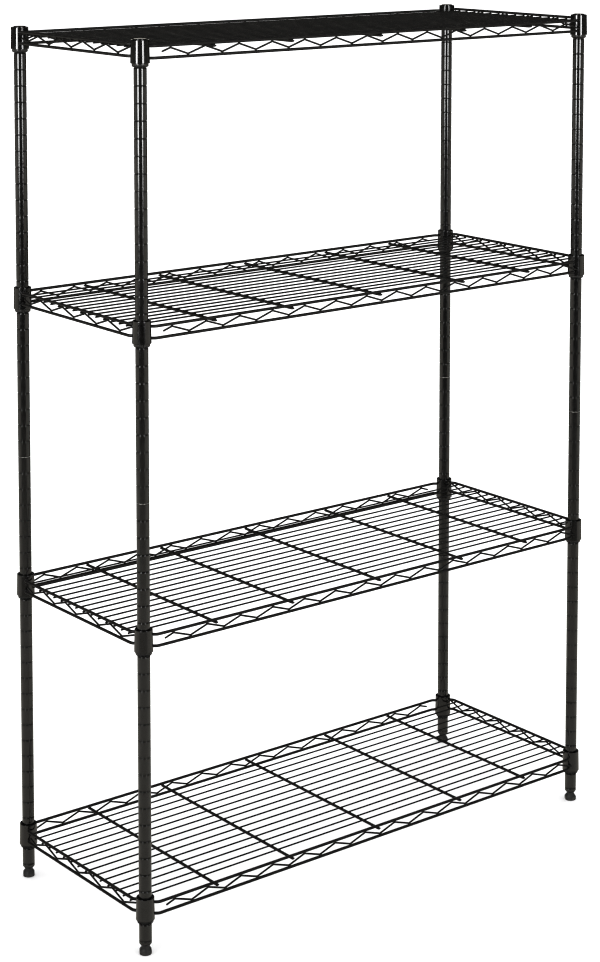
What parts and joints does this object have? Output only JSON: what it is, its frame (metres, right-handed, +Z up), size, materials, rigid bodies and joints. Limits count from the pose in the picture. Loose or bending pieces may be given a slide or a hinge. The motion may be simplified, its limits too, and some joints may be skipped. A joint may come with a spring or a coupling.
{
  "type": "wire shelving rack",
  "caption": "Free-standing rack of welded wire shelves whose collars wedge on tapered split sleeves clipped to grooved posts, with screw-in levelling feet.",
  "frame": {"origin": "centre of the base on the floor", "axes": "+Z up, +X along the shelves towards the right end, +Y from the front to the back"},
  "size_m": [0.9152, 0.3568, 1.3591],
  "materials": {
    "post_coating": "semi-gloss black epoxy coat on steel tube",
    "shelf_coating": "semi-gloss black epoxy coat on steel wire",
    "sleeve_plastic": "moulded black plastic",
    "black_plastic": "moulded black plastic",
    "foot_plastic": "moulded black nylon",
    "zinc_steel": "zinc-plated steel"
  },
  "bodies": {
    "posts": {"lower_post_fl": "post_coating", "upper_post_fl": "post_coating", "lower_post_fr": "post_coating", "upper_post_fr": "post_coating", "lower_post_bl": "post_coating", "upper_post_bl": "post_coating", "lower_post_br": "post_coating", "upper_post_br": "post_coating", "post_caps": "black_plastic", "joint_sockets": "zinc_steel", "joint_studs": "zinc_steel", "foot_inserts": "black_plastic", "sleeve_a_1": "sleeve_plastic", "sleeve_b_1": "sleeve_plastic", "sleeve_a_2": "sleeve_plastic", "sleeve_b_2": "sleeve_plastic", "sleeve_a_3": "sleeve_plastic", "sleeve_b_3": "sleeve_plastic", "sleeve_a_4": "sleeve_plastic", "sleeve_b_4": "sleeve_plastic"},
    "shelf_1": {"collars_1": "shelf_coating", "long_rails_1": "shelf_coating", "short_rails_1": "shelf_coating", "truss_wires_1": "shelf_coating", "deck_wires_1": "shelf_coating", "cross_wires_1": "shelf_coating"},
    "shelf_2": {"collars_2": "shelf_coating", "long_rails_2": "shelf_coating", "short_rails_2": "shelf_coating", "truss_wires_2": "shelf_coating", "deck_wires_2": "shelf_coating", "cross_wires_2": "shelf_coating"},
    "shelf_3": {"collars_3": "shelf_coating", "long_rails_3": "shelf_coating", "short_rails_3": "shelf_coating", "truss_wires_3": "shelf_coating", "deck_wires_3": "shelf_coating", "cross_wires_3": "shelf_coating"},
    "shelf_4": {"collars_4": "shelf_coating", "long_rails_4": "shelf_coating", "short_rails_4": "shelf_coating", "truss_wires_4": "shelf_coating", "deck_wires_4": "shelf_coating", "cross_wires_4": "shelf_coating"},
    "foot_fl": {"foot_pad_fl": "foot_plastic", "foot_stud_fl": "zinc_steel"},
    "foot_fr": {"foot_pad_fr": "foot_plastic", "foot_stud_fr": "zinc_steel"},
    "foot_bl": {"foot_pad_bl": "foot_plastic", "foot_stud_bl": "zinc_steel"},
    "foot_br": {"foot_pad_br": "foot_plastic", "foot_stud_br": "zinc_steel"}
  },
  "joints": [
    {"name": "shelf_1_lift", "type": "slide", "parent": "posts", "child": "shelf_1", "axis": [0, 0, 1], "range_m": [0, 0.365]},
    {"name": "shelf_2_lift", "type": "slide", "parent": "posts", "child": "shelf_2", "axis": [0, 0, 1], "range_m": [0, 0.416]},
    {"name": "shelf_3_lift", "type": "slide", "parent": "posts", "child": "shelf_3", "axis": [0, 0, 1], "range_m": [0, 0.365]},
    {"name": "shelf_4_lift", "type": "slide", "parent": "posts", "child": "shelf_4", "axis": [0, 0, 1], "range_m": [0, 0.06]},
    {"name": "foot_fl_screw", "type": "slide", "parent": "posts", "child": "foot_fl", "axis": [0, 0, -1], "range_m": [0, 0.012]},
    {"name": "foot_fr_screw", "type": "slide", "parent": "posts", "child": "foot_fr", "axis": [0, 0, -1], "range_m": [0, 0.012]},
    {"name": "foot_bl_screw", "type": "slide", "parent": "posts", "child": "foot_bl", "axis": [0, 0, -1], "range_m": [0, 0.012]},
    {"name": "foot_br_screw", "type": "slide", "parent": "posts", "child": "foot_br", "axis": [0, 0, -1], "range_m": [0, 0.012]}
  ]
}
